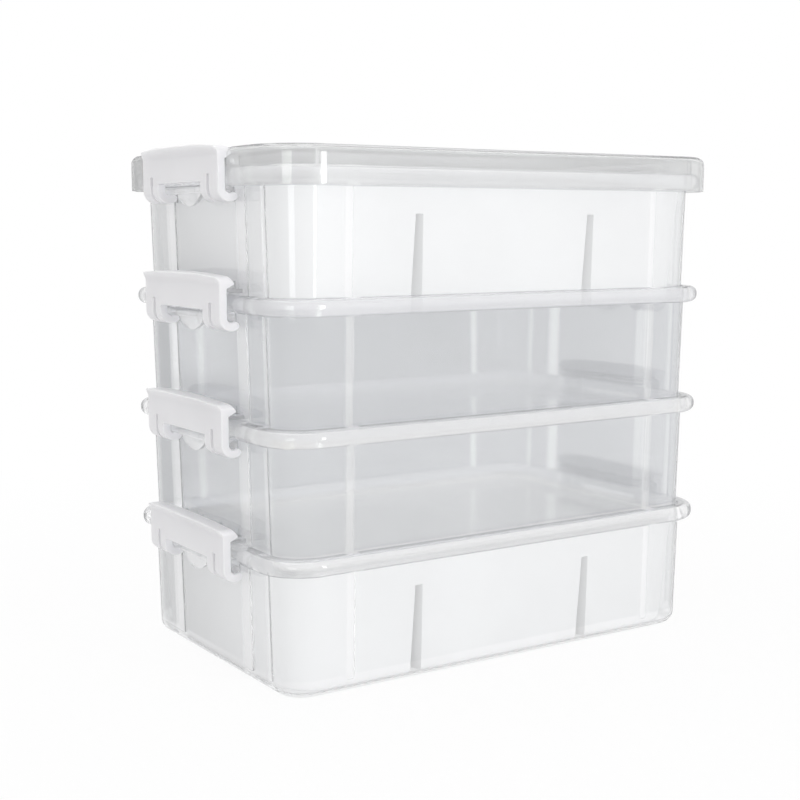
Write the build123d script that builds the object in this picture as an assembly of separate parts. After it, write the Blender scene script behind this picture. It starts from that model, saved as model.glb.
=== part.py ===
"""Four latching craft storage boxes in one stack, with a lid and two pocket trays.

Millimetres, +Z up, origin on the table under the middle of the stack.  X runs along the long
side and the latches hang on the two X ends.  Each box nests a little way into the mouth of the
box below it; a latch on each end of a box hooks over the piece above.
"""
from build123d import *
from math import cos, radians, sin
import os

# ---- stack -------------------------------------------------------------------
TIER_PITCH = 70.0          # height that one more box adds to the stack
FOOT_LENGTH = 294.8        # outside of a box at its foot, along X
FOOT_WIDTH = 183.2         # outside of a box at its foot, along Y
FOOT_CORNER = 18.0         # plan radius of the foot's corners
WALL = 1.5                 # wall of a box
FLOOR = 1.8                # floor of a box
FOOT_EDGE = 8.0            # rounded edge between floor and walls
NEST_GAP = 0.35            # play between a foot and the mouth it stands in

# ---- upright ribs on the walls -----------------------------------------------
RIB_PROUD = 1.0            # how far a rib stands out of the wall
RIB_START = 8.4            # height of a rib's lower end, which rests in the mouth below
LONG_RIB_X = 109.5         # middle of the ribs on the long walls
LONG_RIB_WIDTH = 5.0
END_RIB_Y = 45.5           # middle of the broad ribs on the end walls
END_RIB_WIDTH = 11.0
CORNER_RIB_Y = 72.0        # middle of the fine ribs beside the corners
CORNER_RIB_WIDTH = 3.5
RIB_END_RADIUS = 1.2       # rounding of a rib's lower corners

# ---- rolled rim ----------------------------------------------------------------
MOUTH_DEPTH = 2.05         # seat for the ribs of the box above, below the rim's top
RIM_HEIGHT = 10.0
RIM_OVERHANG = 8.1         # how far the rim stands out of the wall
RIM_NOSE = 4.6             # rounding of the rim's outer edges
RIM_SKIN = 1.8             # plastic over the rim's hollow
RIM_HOLLOW = 3.6           # width of the hollow under the rim

# ---- hinge bar -----------------------------------------------------------------
BAR_RADIUS = 2.4           # hinge bar moulded on the box
BAR_STAND_OFF = 8.8        # hinge bar's middle from the wall
BAR_DROP = 7.0             # hinge bar's middle below the rim's middle
TAB_LENGTH = 35.0          # round tab under the middle of the hinge bar, which stops the latch
TAB_DROP = 9.2             # tab's lowest point below the bar's middle
TAB_WALL = 2.0
TAB_WEB_Y = 10.0           # webs that carry the tab
WEB = 2.4                  # thickness of the webs that carry the bar
WEB_RISE = 3.0             # webs' upper edge at the wall, above the bar's middle
WEB_DROP = 6.9             # webs' lower edge at the wall, below the bar's middle
WEB_FOOT = 2.5             # width of the webs' lower edge

# ---- latch ---------------------------------------------------------------------
LATCH_LENGTH = 100.0
LATCH_GAP = 0.6            # play between a latch and the rim's cut ends
BAR_PLAY = 0.3             # play between the hinge bar and the latch's hooks
HOOK_WALL = 4.5            # thickness of the hooks round the hinge bar
HOOK_WRAP = 145.0          # degrees that a hook runs round below the bar
PLATE = 3.2                # thickness of the latch's face
HOLLOW_TOP = 14.5          # upper end of the hollow behind the face, above the bar
LEG_LENGTH = 21.5          # each leg, along Y
LEG_SLOT_Y = 37.5          # middle of the slot in each leg
LEG_SLOT = 3.2
LEG_SLOT_TOP = 8.0         # slot's upper end above the bar
WINDOW_TOP = 4.0           # lower edge of the face between the legs, above the bar
SHOULDER = 19.5            # where the flared lip leaves the face, above the bar
SHOULDER_ROUND = 6.0       # hollow rounding between the face and the lip
LIP_RISE = 4.5             # height of the flared lip
LIP_REACH = 3.5            # how far the lip stands out of the face
NOSE_ROOT = 16.0           # nose's underside at the face, above the bar
NOSE_REACH = 4.3           # how far the nose stands in from the hooks' inner side
NOSE_SLOPE = 27.0          # degrees that the nose's underside rises
NOSE_EDGE = 0.8            # thickness of the nose's tip
NOSE_LIFT = 1.2            # gap between the nose and the catch below it
LIP_EDGE = 0.6             # bevel of the lip's outer edge
CROWN = 0.5                # how far the latch's top rises behind the lip
ARCH = 2.0                 # how far the latch's top falls from its middle to its ends
LATCH_CORNER = 3.0         # rounding of the upper corners
HOOK_TIP = 2.0             # rounding of the hooks' tips
LATCH_EDGE = 0.5           # rounding of the face's ends

# ---- catch under the nose --------------------------------------------------------
CATCH_BITE = 2.0           # how far the nose reaches over the catch
CATCH_LIP = 3.2            # width of the catch's raised lip
CATCH_SHELF = 2.4          # thickness of the catch's shelf
CATCH_LENGTH = 90.0
CATCH_CLEAR = 1.2          # gap between the catch and the rim below it
GUSSET = 1.6               # thickness of the webs on the catch
GUSSET_HEIGHT = 4.0        # how far a web rises above the shelf
GUSSET_Y = (12.0, 34.0)

# ---- lid -------------------------------------------------------------------------
LID_SKIRT_DROP = 6.0       # skirt's lower edge below the rim's middle
LID_RISE = 15.35           # lid's top above the rim's middle
LID_GAP = 0.7              # play between the skirt and the rim
LID_WALL = 1.8
LID_EDGE = 5.0             # rounded top edge
LID_HEM = 0.8              # rounded lower edge of the skirt
LID_RECESS = 1.6           # depth of the sunken field on top
LID_BORDER = 20.0          # width of the border round the sunken field
LID_REST_OUT = 1.0         # inner side of the ring that rests on the rim, out from the wall

# ---- trays -----------------------------------------------------------------------
TRAY_GAP = 0.8             # play between a tray's top and the box wall
TRAY_TOP_GAP = 0.6         # play between a tray and the piece above
TRAY_DRAFT = 2.4           # degrees that a tray narrows more than its box
TRAY_CORNER = 24.0
TRAY_WALL = 1.6
TRAY_EDGE = 3.0            # rounded edge at the bottom of a tray
POCKET_SPLIT_X = 62.0      # middle of the two gaps between the three pockets
POCKET_GAP_TOP = 5.0       # width of a gap at its top
POCKET_GAP_FOOT = 8.0      # width of a gap at the foot
POCKET_GAP_HEIGHT = 55.0   # top of a gap above the box's underside

BEYOND = 60.0              # reach of a cut that goes right through

# ---- values that follow ------------------------------------------------------------
MOUTH_SEAT = TIER_PITCH + RIB_START
BOX_HEIGHT = MOUTH_SEAT + MOUTH_DEPTH
SLOPE = (NEST_GAP + WALL) / TIER_PITCH       # outward lean of the walls, so that the mouth takes a foot
RIM_BOTTOM = BOX_HEIGHT - RIM_HEIGHT
RIM_MIDDLE = BOX_HEIGHT - RIM_HEIGHT / 2
BAR_Z = RIM_MIDDLE - BAR_DROP
END_WALL_X = FOOT_LENGTH / 2 + SLOPE * BAR_Z
BAR_X = END_WALL_X + BAR_STAND_OFF
HOOK_INNER = BAR_RADIUS + BAR_PLAY
HOOK_OUTER = HOOK_INNER + HOOK_WALL
NOTCH_FACE_X = BAR_X - HOOK_OUTER - LATCH_GAP
NOTCH_LENGTH = LATCH_LENGTH + 2 * LATCH_GAP
BOX_NAMES = ("bottom", "lower_middle", "upper_middle", "top")
TRAY_TIERS = {"bottom": 0, "top": 3}


def outline(z, outward=0.0):
    """Plan of the box wall's outside at height z, moved outward all round."""
    grow = SLOPE * z + outward
    plan = RectangleRounded(FOOT_LENGTH + 2 * grow, FOOT_WIDTH + 2 * grow, FOOT_CORNER + grow)
    return Plane.XY.offset(z) * plan


def wall_block(z_low, z_high, outward=0.0):
    """Solid inside the leaning box wall between two heights, moved outward all round."""
    return loft([outline(z_low, outward), outline(z_high, outward)], ruled=True)


def level_block(z_low, z_high, outward=0.0, plan_z=None):
    """Upright solid whose plan is the box wall's outline at one height, moved outward."""
    plan = outline(BOX_HEIGHT if plan_z is None else plan_z, outward)
    return extrude(Plane.XY.offset(z_low - plan.center().Z) * plan, z_high - z_low)


def edges_at(solid, z):
    """The edges of a solid that lie in the level plane at height z."""
    return [e for e in solid.edges() if abs(e.bounding_box().min.Z - z) < 1e-4
            and abs(e.bounding_box().max.Z - z) < 1e-4]


def slab(x_size, y_size, z_low, z_high, x=0.0, y=0.0):
    """Plain block between two heights."""
    return Pos(x, y, (z_low + z_high) / 2) * Box(x_size, y_size, z_high - z_low)


def both_ends(piece):
    """A piece of the +X end, with its twin at the other end."""
    return piece + Rot(0, 0, 180) * piece


def end_profile(points, length, y=0.0):
    """An X-Z outline carried along Y, centred on y."""
    face = make_face(Polyline([(px, 0, pz) for px, pz in points], close=True))
    solid = extrude(face, amount=length / 2, both=True, dir=(0, 1, 0))
    return Pos(0, y, 0) * solid


def rib_field():
    """Upright slabs, with rounded lower corners, where the walls carry ribs."""
    height = RIM_BOTTOM + 1 - RIB_START
    reach = FOOT_LENGTH + BEYOND
    field = Part()
    long_ribs = [(s * LONG_RIB_X, LONG_RIB_WIDTH) for s in (-1, 1)]
    end_ribs = [(s * y, w) for s in (-1, 1)
                for y, w in ((END_RIB_Y, END_RIB_WIDTH), (CORNER_RIB_Y, CORNER_RIB_WIDTH))]
    for places, across in ((long_ribs, False), (end_ribs, True)):
        for place, width in places:
            bar = Box(width, reach, height)
            lower = bar.edges().filter_by(Axis.Y).group_by(Axis.Z)[0]
            bar = Pos(place, 0, RIB_START + height / 2) * fillet(lower, RIB_END_RADIUS)
            field += Rot(0, 0, 90) * bar if across else bar
    return field


def box_body():
    """Walls, floor, ribs and rolled rim, alike in all four boxes."""
    shell = wall_block(0, BOX_HEIGHT)
    shell = fillet(edges_at(shell, 0), FOOT_EDGE)
    ribs = wall_block(RIB_START, RIM_BOTTOM + 1, RIB_PROUD) & rib_field()
    rim = level_block(RIM_BOTTOM, BOX_HEIGHT, RIM_OVERHANG)
    rim = fillet(edges_at(rim, RIM_BOTTOM) + edges_at(rim, BOX_HEIGHT), RIM_NOSE)
    hollow = level_block(RIM_BOTTOM - 1, BOX_HEIGHT - RIM_SKIN, RIM_HOLLOW)
    hollow -= wall_block(RIM_BOTTOM - 2, BOX_HEIGHT)
    hollow -= slab(FOOT_LENGTH * 2, NOTCH_LENGTH + 2 * RIM_SKIN, 0, BOX_HEIGHT)
    cavity = wall_block(FLOOR, BOX_HEIGHT + 1, -WALL)
    cavity = fillet(edges_at(cavity, FLOOR), FOOT_EDGE - WALL)
    mouth = level_block(MOUTH_SEAT, BOX_HEIGHT + 1, RIB_PROUD + NEST_GAP, RIB_START)
    return shell + (rim - hollow) + ribs - cavity - mouth


def rim_notch():
    """What is cut out of the rim at the +X end so that the latch can swing."""
    return slab(BEYOND, NOTCH_LENGTH, RIM_BOTTOM - 1, BOX_HEIGHT + 1, NOTCH_FACE_X + BEYOND / 2)


def hinge_bar():
    """Hinge bar of the +X end with its round middle tab and the webs that carry it."""
    half = LATCH_LENGTH / 2 - LATCH_GAP
    bar = Pos(BAR_X, 0, BAR_Z) * Rot(90, 0, 0) * Cylinder(BAR_RADIUS, 2 * half)
    root = END_WALL_X - WALL / 2
    half_bar = BAR_RADIUS * 5 / 6
    web = [(root, BAR_Z + WEB_RISE), (BAR_X, BAR_Z + half_bar), (BAR_X, BAR_Z - half_bar),
           (root + WEB_FOOT, BAR_Z - WEB_DROP), (root, BAR_Z - WEB_DROP)]
    for y in (-LEG_SLOT_Y, -TAB_WEB_Y, TAB_WEB_Y, LEG_SLOT_Y):
        bar += end_profile(web, WEB, y)
    return bar + middle_tab()


def middle_tab():
    """Half-round tab in line with the hinge bar."""
    arc = ThreePointArc((-TAB_LENGTH / 2, 0), (0, -TAB_DROP), (TAB_LENGTH / 2, 0))
    lid_line = Line((TAB_LENGTH / 2, 0), (-TAB_LENGTH / 2, 0))
    face = make_face(Curve() + [arc, lid_line])
    plane = Plane(origin=(BAR_X, 0, BAR_Z), x_dir=(0, 1, 0), z_dir=(1, 0, 0))
    return extrude(plane * face, amount=TAB_WALL / 2, both=True)


def nose_underside(x):
    """Height of the latch nose's underside above the bar at a distance x outside the bar."""
    rise = sin(radians(NOSE_SLOPE)) / cos(radians(NOSE_SLOPE))
    return NOSE_ROOT + (HOOK_INNER - x) * rise


def catch(root_x, bar_z, floor_z):
    """Shelf with a raised lip that the nose hooks over, for the +X end.

    root_x lies inside the wall that carries it, bar_z is the height of the hinge bar below,
    and floor_z the lowest the shelf may reach.
    """
    tip = HOOK_INNER - NOSE_REACH + CATCH_BITE
    back = tip - CATCH_LIP
    top_tip = bar_z + nose_underside(tip) - NOSE_LIFT
    top_back = bar_z + nose_underside(back) - NOSE_LIFT
    shelf = floor_z + CATCH_SHELF
    points = [(root_x, floor_z), (BAR_X + tip, floor_z), (BAR_X + tip, top_tip),
              (BAR_X + back, top_back), (BAR_X + back, shelf), (root_x, shelf)]
    return end_profile(points, CATCH_LENGTH), BAR_X + back, shelf


def box_catch():
    """Catch of the +X end of an upper box, with the webs that stiffen it."""
    bar_z = BAR_Z - TIER_PITCH
    floor_z = BOX_HEIGHT - TIER_PITCH + CATCH_CLEAR
    root = FOOT_LENGTH / 2 - WALL / 2
    piece, back, shelf = catch(root, bar_z, floor_z)
    web = [(root, shelf - 1), (back, shelf - 1), (back - 1, shelf + 1), (root + 1, shelf + GUSSET_HEIGHT),
           (root, shelf + GUSSET_HEIGHT)]
    for y in GUSSET_Y:
        piece += end_profile(web, GUSSET, y) + end_profile(web, GUSSET, -y)
    return piece


def storage_box(has_catch):
    """One box; the bottom box has nothing below it, and so no catches."""
    ends = hinge_bar()
    if has_catch:
        ends += box_catch()
    return box_body() - both_ends(rim_notch()) + both_ends(ends)


def edges_along_y(solid, x, z):
    """The straight edges of a solid that run along Y at a place of its X-Z outline."""
    return [e for e in solid.edges().filter_by(Axis.Y)
            if abs(e.center().X - x) < 1e-3 and abs(e.center().Z - z) < 1e-3]


def latch():
    """Latch of the +X end of a box whose underside is at z = 0, closed."""
    x_in, x_out = BAR_X + HOOK_INNER, BAR_X + HOOK_OUTER
    tip_x = x_in - NOSE_REACH
    tip_z = BAR_Z + nose_underside(HOOK_INNER - NOSE_REACH)
    shoulder_z = BAR_Z + SHOULDER
    lip_x, lip_z = x_out + LIP_REACH, shoulder_z + LIP_RISE
    outline_points = [(x_out, BAR_Z), (x_out, shoulder_z), (lip_x, lip_z - LIP_EDGE), (lip_x - LIP_EDGE, lip_z),
                      (x_in, lip_z + CROWN), (tip_x, tip_z + NOSE_EDGE), (tip_x, tip_z),
                      (x_in, BAR_Z + NOSE_ROOT), (x_in, BAR_Z)]
    body = end_profile(outline_points, LATCH_LENGTH)
    body = fillet(edges_along_y(body, x_out, shoulder_z), SHOULDER_ROUND)
    body = (body & latch_elevation(lip_z + CROWN)) + hook_arc()
    body = fillet(end_edges(body, x_out), LATCH_EDGE)
    window_length = LATCH_LENGTH - 2 * LEG_LENGTH
    below, beyond = BAR_Z - 2 * HOOK_OUTER, 4 * HOOK_OUTER
    body -= slab(beyond, window_length, below, BAR_Z + WINDOW_TOP, BAR_X)
    body -= slab(2 * (HOOK_WALL - PLATE), window_length, BAR_Z, BAR_Z + HOLLOW_TOP, x_in)
    for y in (-LEG_SLOT_Y, LEG_SLOT_Y):
        body -= slab(beyond, LEG_SLOT, below, BAR_Z + LEG_SLOT_TOP, BAR_X, y)
    return body


def end_edges(solid, x_out):
    """The edges round the outside of a latch's two ends, from its shoulder down to the hooks."""
    return [e for e in solid.edges() if abs(abs(e.center().Y) - LATCH_LENGTH / 2) < 1e-3
            and e.bounding_box().max.X > x_out - 1e-3 and e.bounding_box().max.Z < BAR_Z + SHOULDER]


def latch_elevation(top):
    """Room for the latch, seen from its end of the box: an arched top with rounded corners."""
    half, foot = LATCH_LENGTH / 2, -4 * HOOK_OUTER
    arch = ThreePointArc((-half, -ARCH), (0, 0), (half, -ARCH))
    sides = Polyline((half, -ARCH), (half, foot), (-half, foot), (-half, -ARCH))
    face = make_face(Curve() + [arch, sides])
    corners = [v for v in face.vertices() if abs(v.Y + ARCH) < 1e-3]
    plane = Plane(origin=(BAR_X, 0, top), x_dir=(0, 1, 0), z_dir=(1, 0, 0))
    return extrude(plane * fillet(corners, LATCH_CORNER), amount=4 * HOOK_OUTER, both=True)


def hook_arc():
    """Part ring under the hinge bar, from the latch's face round to the hooks' tips."""
    ring = Cylinder(HOOK_OUTER, LATCH_LENGTH) - Cylinder(HOOK_INNER, LATCH_LENGTH)
    ring = Pos(BAR_X, 0, BAR_Z) * Rot(90, 0, 0) * ring
    far = 3 * HOOK_OUTER
    end = radians(-HOOK_WRAP)
    keep = [(BAR_X, BAR_Z), (BAR_X + far, BAR_Z), (BAR_X + far, BAR_Z - far), (BAR_X - far, BAR_Z - far),
            (BAR_X + far * cos(end), BAR_Z + far * sin(end))]
    arc = ring & end_profile(keep, LATCH_LENGTH + 1)
    tips = []
    for radius in (HOOK_INNER, HOOK_OUTER):
        tips += edges_along_y(arc, BAR_X + radius * cos(end), BAR_Z + radius * sin(end))
    return fillet(tips, HOOK_TIP)


def lid():
    """Lid over the mouth of the top box, in that box's own heights."""
    low, high = RIM_MIDDLE - LID_SKIRT_DROP, RIM_MIDDLE + LID_RISE
    outward = RIM_OVERHANG + LID_GAP + LID_WALL
    shell = level_block(low, high, outward)
    shell = fillet(edges_at(shell, high), LID_EDGE)
    shell = fillet(edges_at(shell, low), LID_HEM)
    inside = level_block(low - 1, high - LID_WALL, outward - LID_WALL)
    inside = fillet(edges_at(inside, high - LID_WALL), LID_EDGE - LID_WALL)
    inside -= level_block(high - LID_WALL - LID_RECESS, high, LID_WALL - LID_BORDER)
    field = level_block(high - LID_RECESS, high + 1, -LID_BORDER)
    ring_out = LID_REST_OUT + LID_WALL
    ring = level_block(BOX_HEIGHT, high - LID_WALL, ring_out) - level_block(low, high, LID_REST_OUT)
    wall_x = FOOT_LENGTH / 2 + SLOPE * BOX_HEIGHT + ring_out
    notch = slab(BEYOND, NOTCH_LENGTH, low - 1, high + 1, wall_x + BEYOND / 2)
    return shell - inside - field - both_ends(notch) + ring + both_ends(lid_end(wall_x, high))


def lid_end(wall_x, high):
    """Catch and the cheeks that close the lid's notch at the +X end."""
    catch_piece, _, _ = catch(wall_x - LID_WALL / 2, BAR_Z, BOX_HEIGHT + CATCH_CLEAR)
    reach = wall_x - LID_REST_OUT + RIM_OVERHANG + LID_GAP - LID_WALL / 2
    closing = slab(LID_WALL, NOTCH_LENGTH + LID_WALL, BOX_HEIGHT, high - LID_WALL / 2, wall_x - LID_WALL / 2)
    for side in (-1, 1):
        y = side * (NOTCH_LENGTH + LID_WALL) / 2
        closing += slab(reach - wall_x + LID_WALL, LID_WALL, BOX_HEIGHT + NEST_GAP, high - LID_EDGE,
                        (reach + wall_x - LID_WALL) / 2, y)
    return catch_piece + closing


def tray():
    """Pocket tray that stands on a box's floor, in that box's own heights."""
    top = TIER_PITCH - TRAY_TOP_GAP
    lean = SLOPE + sin(radians(TRAY_DRAFT)) / cos(radians(TRAY_DRAFT))

    def plan(z, outward=0.0):
        grow = -WALL - TRAY_GAP + SLOPE * top - lean * (top - z) + outward
        shape = RectangleRounded(FOOT_LENGTH + 2 * grow, FOOT_WIDTH + 2 * grow, TRAY_CORNER + outward)
        return Plane.XY.offset(z) * shape

    block = loft([plan(FLOOR), plan(top)], ruled=True)
    block = fillet(edges_at(block, FLOOR), TRAY_EDGE)
    floor_z = FLOOR + TRAY_WALL
    room = loft([plan(floor_z, -TRAY_WALL), plan(top + 1, -TRAY_WALL)], ruled=True)
    room = fillet(edges_at(room, floor_z), TRAY_EDGE - TRAY_WALL)
    for x in (-POCKET_SPLIT_X, POCKET_SPLIT_X):
        room -= Pos(x, 0, 0) * pocket_split(TRAY_WALL)
        block -= Pos(x, 0, 0) * pocket_split(0)
    return block - room


def pocket_split(wall):
    """Gap between two pockets, grown by the wall that folds over it."""
    top, foot = POCKET_GAP_TOP / 2 + wall, POCKET_GAP_FOOT / 2 + wall
    points = [(-foot, 0), (foot, 0), (top, POCKET_GAP_HEIGHT + wall), (-top, POCKET_GAP_HEIGHT + wall)]
    return end_profile(points, FOOT_WIDTH * 2)


def main():
    os.makedirs("parts", exist_ok=True)
    pieces = {}
    plain, caught = storage_box(False), storage_box(True)
    closed = latch()
    for tier, name in enumerate(BOX_NAMES):
        place = Pos(0, 0, tier * TIER_PITCH)
        pieces[f"{name}_box"] = place * (plain if tier == 0 else caught)
        pieces[f"{name}_right_latch"] = place * closed
        pieces[f"{name}_left_latch"] = place * Rot(0, 0, 180) * closed
    for name, tier in TRAY_TIERS.items():
        pieces[f"{name}_tray"] = Pos(0, 0, tier * TIER_PITCH) * tray()
    pieces["lid"] = Pos(0, 0, (len(BOX_NAMES) - 1) * TIER_PITCH) * lid()
    for name, piece in pieces.items():
        export_step(piece, f"parts/{name}.step")


main()
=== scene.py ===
"""Looks of the stacked latching craft boxes: clear frosted boxes and lid, white latches and trays."""
import math

import bpy
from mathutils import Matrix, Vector


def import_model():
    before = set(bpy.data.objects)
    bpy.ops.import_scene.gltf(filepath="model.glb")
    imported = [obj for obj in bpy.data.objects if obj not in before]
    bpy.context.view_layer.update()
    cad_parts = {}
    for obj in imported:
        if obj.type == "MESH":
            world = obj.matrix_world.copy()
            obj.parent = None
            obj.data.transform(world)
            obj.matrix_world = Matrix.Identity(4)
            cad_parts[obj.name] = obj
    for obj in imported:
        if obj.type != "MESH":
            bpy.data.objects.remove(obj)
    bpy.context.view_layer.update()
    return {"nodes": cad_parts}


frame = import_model()

# ---- measures of the stack, in metres ------------------------------------------------
TIER = 0.070                # height that one box adds to the stack
RIM_TOP = 0.01045           # a rim's top above the foot of the box that stands in it
FOOT_HALF_LENGTH = 0.1485   # the foot's outside, along X, and along Y
FOOT_HALF_WIDTH = 0.0927
FLOOR_TOP = 0.004           # height up to which a floor and its rounded edge get their own colour, painted light and shade
LONG_WALL_Y = 0.084         # where the long walls and the end walls begin
END_WALL_X = 0.143
LONG_RIB_X = 0.1095         # middle of the ribs on the long walls
LONG_RIB_HALF = 0.0025
END_RIB_Y = 0.0455          # middle of the broad ribs on the end walls
END_RIB_HALF = 0.0055
CORNER_RIB_Y = 0.072        # middle of the fine ribs beside the corners
CORNER_RIB_HALF = 0.00175
RIB_MARGIN = 0.0012         # how far a rib's sides reach beyond its face
BAR_X = 0.1535              # where the hinge bars begin, how far they run each way, and their height
BAR_HALF_LENGTH = 0.046
BAR_BOTTOM = 0.05

# ---- colours -------------------------------------------------------------------------
PAINTED_RIB_LIGHT = (0.98, 0.98, 0.985)      # painted light: ribs, hinge bars and the tray boxes' rims are lighter than the walls, standing in for the bright lines light makes along them
SLANT_TONE = (0.40, 0.41, 0.42)     # clear plastic where the eye looks along its wall
FILM_TONE = (0.97, 0.972, 0.975)    # what one face of it takes from the lamps' light
CLEAR_IOR = 1.12                    # low, because thin milky walls bend what is behind them little
WHITE_IOR = 1.46

# ---- light and camera ----------------------------------------------------------------
SKY = 0.74                          # strength of the sky that lights the object
FLOOR_SIDE = 6.0
FLOOR_HEIGHT = 0.0001               # a hair above the foot's underside, so that no two faces coincide
PAPER_NEAR, PAPER_FAR = 0.2, 0.7    # the object's shadow fades out between these, from the middle
LENS, SENSOR = 62.72, 36.0          # millimetres
CAMERA_PLACE = (-0.49823, -0.73322, 0.25882)
CAMERA_TURN = (82.839, 0.0, -33.357)
# name, place, aim, width, height, power in watts
SOFTBOXES = (
    ("right_softbox", (0.63, -1.81, 0.45), (0, 0, 0.2), 0.35, 1.0, 7.5),
    ("left_softbox", (-1.45, -1.15, 0.45), (0, 0, 0.2), 0.6, 1.0, 3.2),
    ("top_softbox", (-0.2, 0.1, 1.8), (0, 0, 0.15), 1.2, 1.2, 7.0),
)


# ---- shader maths --------------------------------------------------------------------

class Term:
    """A number, colour or vector that varies over a surface: one output of a tree's nodes."""

    def __init__(self, tree, socket):
        self.tree, self.socket = tree, socket

    def _math(self, operation, *values):
        return self.tree.node("ShaderNodeMath", {"operation": operation}, dict(enumerate(values)))

    def __add__(self, other):
        return self._math("ADD", self, other)

    def __sub__(self, other):
        return self._math("SUBTRACT", self, other)

    def __rsub__(self, other):
        return self._math("SUBTRACT", other, self)

    def __mul__(self, other):
        return self._math("MULTIPLY", self, other)

    def __mod__(self, other):
        return self._math("FLOORED_MODULO", self, other)

    def __abs__(self):
        return self._math("ABSOLUTE", self)

    __radd__ = __add__
    __rmul__ = __mul__

    def at_most(self, other):
        return self._math("MINIMUM", self, other)

    def at_least(self, other):
        return self._math("MAXIMUM", self, other)

    def between(self, low, high):
        """0 below low, 1 above high, and a smooth rise in between."""
        return self.tree.node("ShaderNodeMapRange", {"interpolation_type": "SMOOTHSTEP"},
                              {"Value": self, "From Min": low, "From Max": high})

    def past(self, edge, soft=0.001):
        """0 up to the edge, and 1 past the soft strip beyond it."""
        return self.between(edge, edge + soft)


class Nodes:
    """The nodes of a material or of the world."""

    def __init__(self, owner):
        owner.use_nodes = True
        self.owner, self.tree = owner, owner.node_tree
        self.tree.nodes.clear()

    def node(self, kind, settings=None, values=None, out=0):
        """Makes any node: its settings first, then the values or links of its sockets."""
        made = self.tree.nodes.new(kind)
        for name, value in (settings or {}).items():
            setattr(made, name, value)
        for name, value in (values or {}).items():
            if isinstance(value, Term):
                self.tree.links.new(value.socket, made.inputs[name])
            else:
                made.inputs[name].default_value = value
        return Term(self, made.outputs[out])

    def end(self, shader, kind="ShaderNodeOutputMaterial"):
        """Ends the nodes with their shader and returns what owns them."""
        out = self.tree.nodes.new(kind)
        self.tree.links.new(shader.socket, out.inputs["Surface"])
        return self.owner

    def mixed(self, share, first, second):
        """First shader where share is 0, second where it is 1."""
        return self.node("ShaderNodeMixShader", None, {0: share, 1: first, 2: second})

    def ray(self, name):
        """1 for the rays of that kind, 0 for the others."""
        return self.node("ShaderNodeLightPath", out=name)

    def plain_ray(self):
        """1 for rays from the camera and for those that gloss and clear plastic send on."""
        rays = self.ray("Is Camera Ray") + self.ray("Is Glossy Ray") + self.ray("Is Transmission Ray")
        return rays.at_most(1.0)

    def place(self, stretch=(1, 1, 1)):
        """Object coordinates in metres, stretched along the axes."""
        here = self.node("ShaderNodeTexCoord", out="Object")
        return self.node("ShaderNodeMapping", None, {"Vector": here, "Scale": stretch})

    def along(self, axis):
        """One Object coordinate: 0 for X, 1 for Y, 2 for Z."""
        here = self.node("ShaderNodeTexCoord", out="Object")
        return self.node("ShaderNodeSeparateXYZ", None, {0: here}, out=axis)

    def noise(self, scale, detail, stretch=(1, 1, 1)):
        """Soft spots of about 1 / scale metres."""
        return self.node("ShaderNodeTexNoise", None,
                         {"Vector": self.place(stretch), "Scale": scale, "Detail": detail})

    def blend(self, share, first, second):
        """First colour where share is 0, second where it is 1."""
        return self.node("ShaderNodeMix", {"data_type": "RGBA"},
                         {"Factor": share, 6: first, 7: second}, out=2)

    def bump(self, height, distance, strength):
        return self.node("ShaderNodeBump", None,
                         {"Height": height, "Distance": distance, "Strength": strength})


# ---- finishes ------------------------------------------------------------------------

def band(value, middle, half):
    """1 within half of the middle, with edges that soften over a third of a millimetre."""
    return 1 - abs(value - middle).between(half - 0.0001, half + 0.0002)


def rims(f):
    """1 from each tier's foot up to the top of the rim round it, 0 above: where the rims' painted light
    goes.
    """
    return 1 - (f.along(2) % TIER).past(RIM_TOP, 0.0006)


def ribs(f, spread=0.0):
    """1 on the upright ribs of the walls, and spread beyond them, and on the hinge bars; unspread, it
    places their painted light.
    """
    across, deep = abs(f.along(0)), abs(f.along(1))
    long_ribs = band(across, LONG_RIB_X, LONG_RIB_HALF + spread) * deep.past(LONG_WALL_Y)
    broad = band(deep, END_RIB_Y, END_RIB_HALF + spread)
    fine = band(deep, CORNER_RIB_Y, CORNER_RIB_HALF + spread)
    end_ribs = (broad + fine) * across.past(END_WALL_X)
    bar = (1 - deep.past(BAR_HALF_LENGTH)) * across.past(BAR_X, 0.0005)
    bar = bar * (f.along(2) % TIER).past(BAR_BOTTOM, 0.002)
    return (long_ribs + end_ribs + bar).at_most(1.0)


def floors(f):
    """1 on the boxes' floors and their rounded foot edges, where their painted light and shade goes."""
    across, deep = abs(f.along(0)), abs(f.along(1))
    inside = (1 - across.past(FOOT_HALF_LENGTH, 0.0005)) * (1 - deep.past(FOOT_HALF_WIDTH, 0.0005))
    return inside * (1 - (f.along(2) % TIER).past(FLOOR_TOP))


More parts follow.
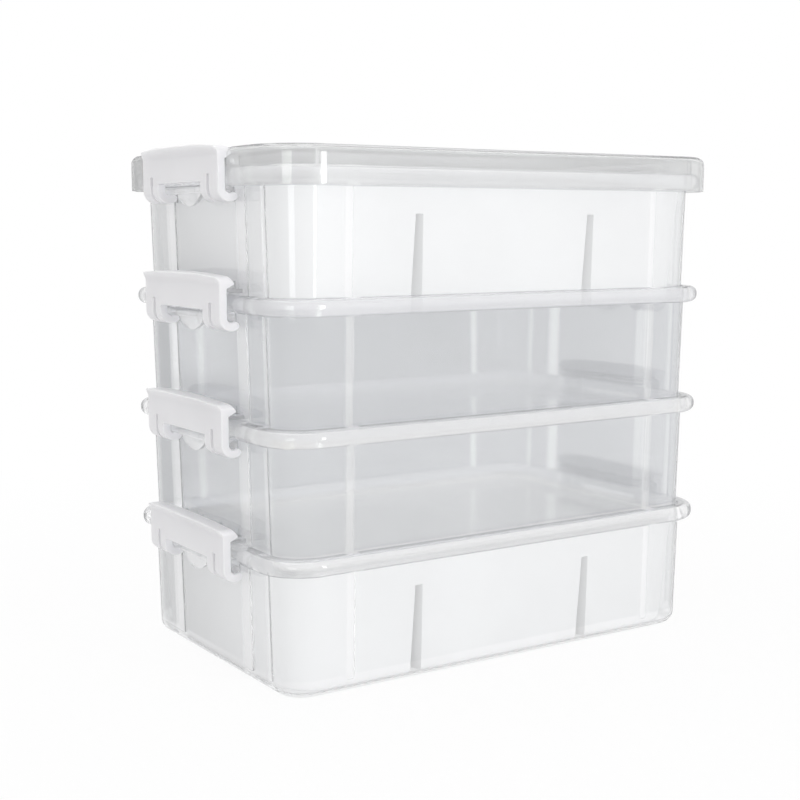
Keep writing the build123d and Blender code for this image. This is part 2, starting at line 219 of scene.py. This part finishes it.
def clear_plastic(name, haze, front, back, roughness, rim=None, floor=None):
    """Natural polypropylene: see-through, milky, with faint flow marks from moulding.

    Its colour goes from front, at the front left, to back, at the back right: painted shade, darkening
    the plastic towards the back right.  A box has its own colours for the ribs, the rim and the floor,
    painted light on ribs and rim and painted light and shade on the floor; the lid has none.
    """
    f = Nodes(bpy.data.materials.new(name))
    clouds = f.noise(9.0, 3.0)
    flow = f.noise(30.0, 2.0, (1, 1, 0.12))
    grain = f.noise(1400.0, 1.0)
    # painted shade: the plastic darkens towards the back right, with a tenth of random clouds in its tone
    painted_shade_ramp = (f.along(1) + 0.3 * f.along(0)).between(-0.095, 0.085)
    shade_and_clouds = 0.9 * painted_shade_ramp + 0.1 * clouds.between(0.35, 0.65)
    colour = f.blend(shade_and_clouds, (*front, 1), (*back, 1))
    slant = f.node("ShaderNodeLayerWeight", None, {"Blend": 0.5}, out="Facing")
    if rim:
        upright = 1 - floors(f)
        # painted light: ribs, hinge bars and rims lighter than the walls; the floor gets its own painted
        # light and shade
        colour = f.blend(ribs(f), colour, (*PAINTED_RIB_LIGHT, 1))
        colour = f.blend(rims(f), colour, (*rim, 1))
        colour = f.blend(upright, (*floor, 1), colour)
        slant = slant * upright * (1 - ribs(f, RIB_MARGIN))
    colour = f.blend(slant.between(0.48, 0.95), colour, (*SLANT_TONE, 1))
    body = f.node("ShaderNodeBsdfPrincipled", None, {
        "Base Color": colour,
        "Roughness": roughness + 0.03 * flow + 0.02 * grain,
        "Normal": f.bump(flow * 0.7 + grain * 0.02, 0.0004, 0.08),
        "IOR": CLEAR_IOR,
        "Transmission Weight": 1 - haze,
        "Coat Weight": 1 - 0.9 * slant.between(0.42, 0.85),
        "Coat Roughness": 0.06,
    })
    film = f.node("ShaderNodeBsdfTransparent", None, {"Color": (*FILM_TONE, 1)})
    lamps_light = f.ray("Is Shadow Ray").at_least(f.ray("Is Diffuse Ray"))
    return f.end(f.mixed(lamps_light, body, film))


def white_plastic(name, tint, dark, roughness, coat, glow):
    """Opaque white moulding: satin skin with a faint grain and flow marks."""
    f = Nodes(bpy.data.materials.new(name))
    clouds = f.noise(24.0, 3.0)
    grain = f.noise(2600.0, 2.0)
    body = f.node("ShaderNodeBsdfPrincipled", None, {
        "Base Color": f.blend(clouds.between(0.3, 0.7), (*tint, 1), (*dark, 1)),
        "Roughness": roughness + 0.08 * clouds + 0.05 * grain,
        "Normal": f.bump(grain + clouds * 0.5, 0.00005, 0.4),
        "IOR": WHITE_IOR,
        "Coat Weight": coat,
        "Coat Roughness": 0.25,
        "Subsurface Weight": glow,
        "Subsurface Radius": (1, 1, 1),
        "Subsurface Scale": 0.004,
    })
    return f.end(body)


def dress(node, material):
    """Gives a CAD node its material."""
    mesh = frame["nodes"][node].data
    mesh.materials.clear()
    mesh.materials.append(material)


def dress_stack():
    # One plastic for all boxes: the middle boxes are darker copies, painted shade, and each box has its
    # own painted rim light and painted floor light and shade; the lower middle floor is a warm painted
    # light
    tray_tier = clear_plastic("frosted_clear", 0.20, (0.95, 0.955, 0.96), (0.74, 0.745, 0.75), 0.10,
                              PAINTED_RIB_LIGHT, (0.80, 0.805, 0.81))
    upper = clear_plastic("frosted_painted_shade", 0.20, (0.86, 0.868, 0.88), (0.63, 0.638, 0.65), 0.10,
                          (0.91, 0.91, 0.92), (0.86, 0.865, 0.875))
    lower = clear_plastic("frosted_painted_shade_and_floor_light", 0.20, (0.88, 0.888, 0.90), (0.66, 0.668, 0.68), 0.10,
                          (0.95, 0.95, 0.955), (1.0, 0.99, 0.97))
    lid = clear_plastic("lid_clear", 0.15, (0.92, 0.923, 0.923), (0.62, 0.62, 0.62), 0.08)
    latch = white_plastic("latch_white", (0.81, 0.805, 0.82), (0.79, 0.785, 0.80), 0.34, 0.15, 0.7)
    tray = white_plastic("tray_white", (0.95, 0.95, 0.95), (0.93, 0.93, 0.93), 0.46, 0.0, 0.0)
    boxes = {"bottom": tray_tier, "lower_middle": lower, "upper_middle": upper, "top": tray_tier}
    for tier, box in boxes.items():
        dress(f"{tier}_box", box)
        for side in ("left", "right"):
            dress(f"{tier}_{side}_latch", latch)
    for tier in ("bottom", "top"):
        dress(f"{tier}_tray", tray)
    dress("lid", lid)


# ---- stage, light and camera ---------------------------------------------------------

def floor():
    """White to the eye, with a trace of paper near the object that takes its shadow."""
    side, up = FLOOR_SIDE, FLOOR_HEIGHT
    mesh = bpy.data.meshes.new("floor")
    corners = [(-side, -side, up), (side, -side, up), (side, side, up), (-side, side, up)]
    mesh.from_pydata(corners, [], [(0, 1, 2, 3)])
    piece = bpy.data.objects.new("floor", mesh)
    bpy.context.scene.collection.objects.link(piece)
    f = Nodes(bpy.data.materials.new("floor_white"))
    away = f.node("ShaderNodeVectorMath", {"operation": "LENGTH"}, {0: f.place()}, out=1)
    white = f.plain_ray() * (0.93 + 0.07 * away.between(PAPER_NEAR, PAPER_FAR))
    paper = f.node("ShaderNodeBsdfDiffuse", None, {"Color": (0.9, 0.9, 0.9, 1)})
    glow = f.node("ShaderNodeEmission", None, {"Color": (1, 1, 1, 1), "Strength": 1.0})
    mesh.materials.append(f.end(f.mixed(white, paper, glow)))


def world():
    """White to the eye, in gloss and through the plastic; a soft plain sky for everything else."""
    studio = bpy.data.worlds.new("studio")
    bpy.context.scene.world = studio
    f = Nodes(studio)
    sky = f.node("ShaderNodeBackground", None, {"Color": (1, 1, 1, 1), "Strength": SKY})
    white = f.node("ShaderNodeBackground", None, {"Color": (1, 1, 1, 1), "Strength": 1.0})
    f.end(f.mixed(f.plain_ray(), sky, white), "ShaderNodeOutputWorld")


def softbox(name, place, aim, wide, tall, power):
    """A rectangular lamp that faces its aim."""
    light = bpy.data.lights.new(name, "AREA")
    light.shape, light.size, light.size_y, light.energy = "RECTANGLE", wide, tall, power
    piece = bpy.data.objects.new(name, light)
    piece.location = place
    piece.rotation_euler = (Vector(aim) - Vector(place)).to_track_quat("-Z", "Y").to_euler()
    bpy.context.scene.collection.objects.link(piece)


def camera():
    """Where the photograph was taken from."""
    view = bpy.data.cameras.new("camera")
    view.lens, view.sensor_width = LENS, SENSOR
    view.clip_start = 0.01
    piece = bpy.data.objects.new("camera", view)
    piece.location = CAMERA_PLACE
    piece.rotation_euler = [math.radians(turn) for turn in CAMERA_TURN]
    bpy.context.scene.collection.objects.link(piece)
    bpy.context.scene.camera = piece


def light_paths():
    """Enough bounces to see through all the walls of the stack."""
    scene = bpy.context.scene
    scene.view_settings.view_transform = "Standard"
    scene.cycles.max_bounces = 24
    scene.cycles.transmission_bounces = 24
    scene.cycles.transparent_max_bounces = 48
    scene.cycles.diffuse_bounces = 6


dress_stack()
floor()
world()
for lamp in SOFTBOXES:
    softbox(*lamp)
camera()
light_paths()
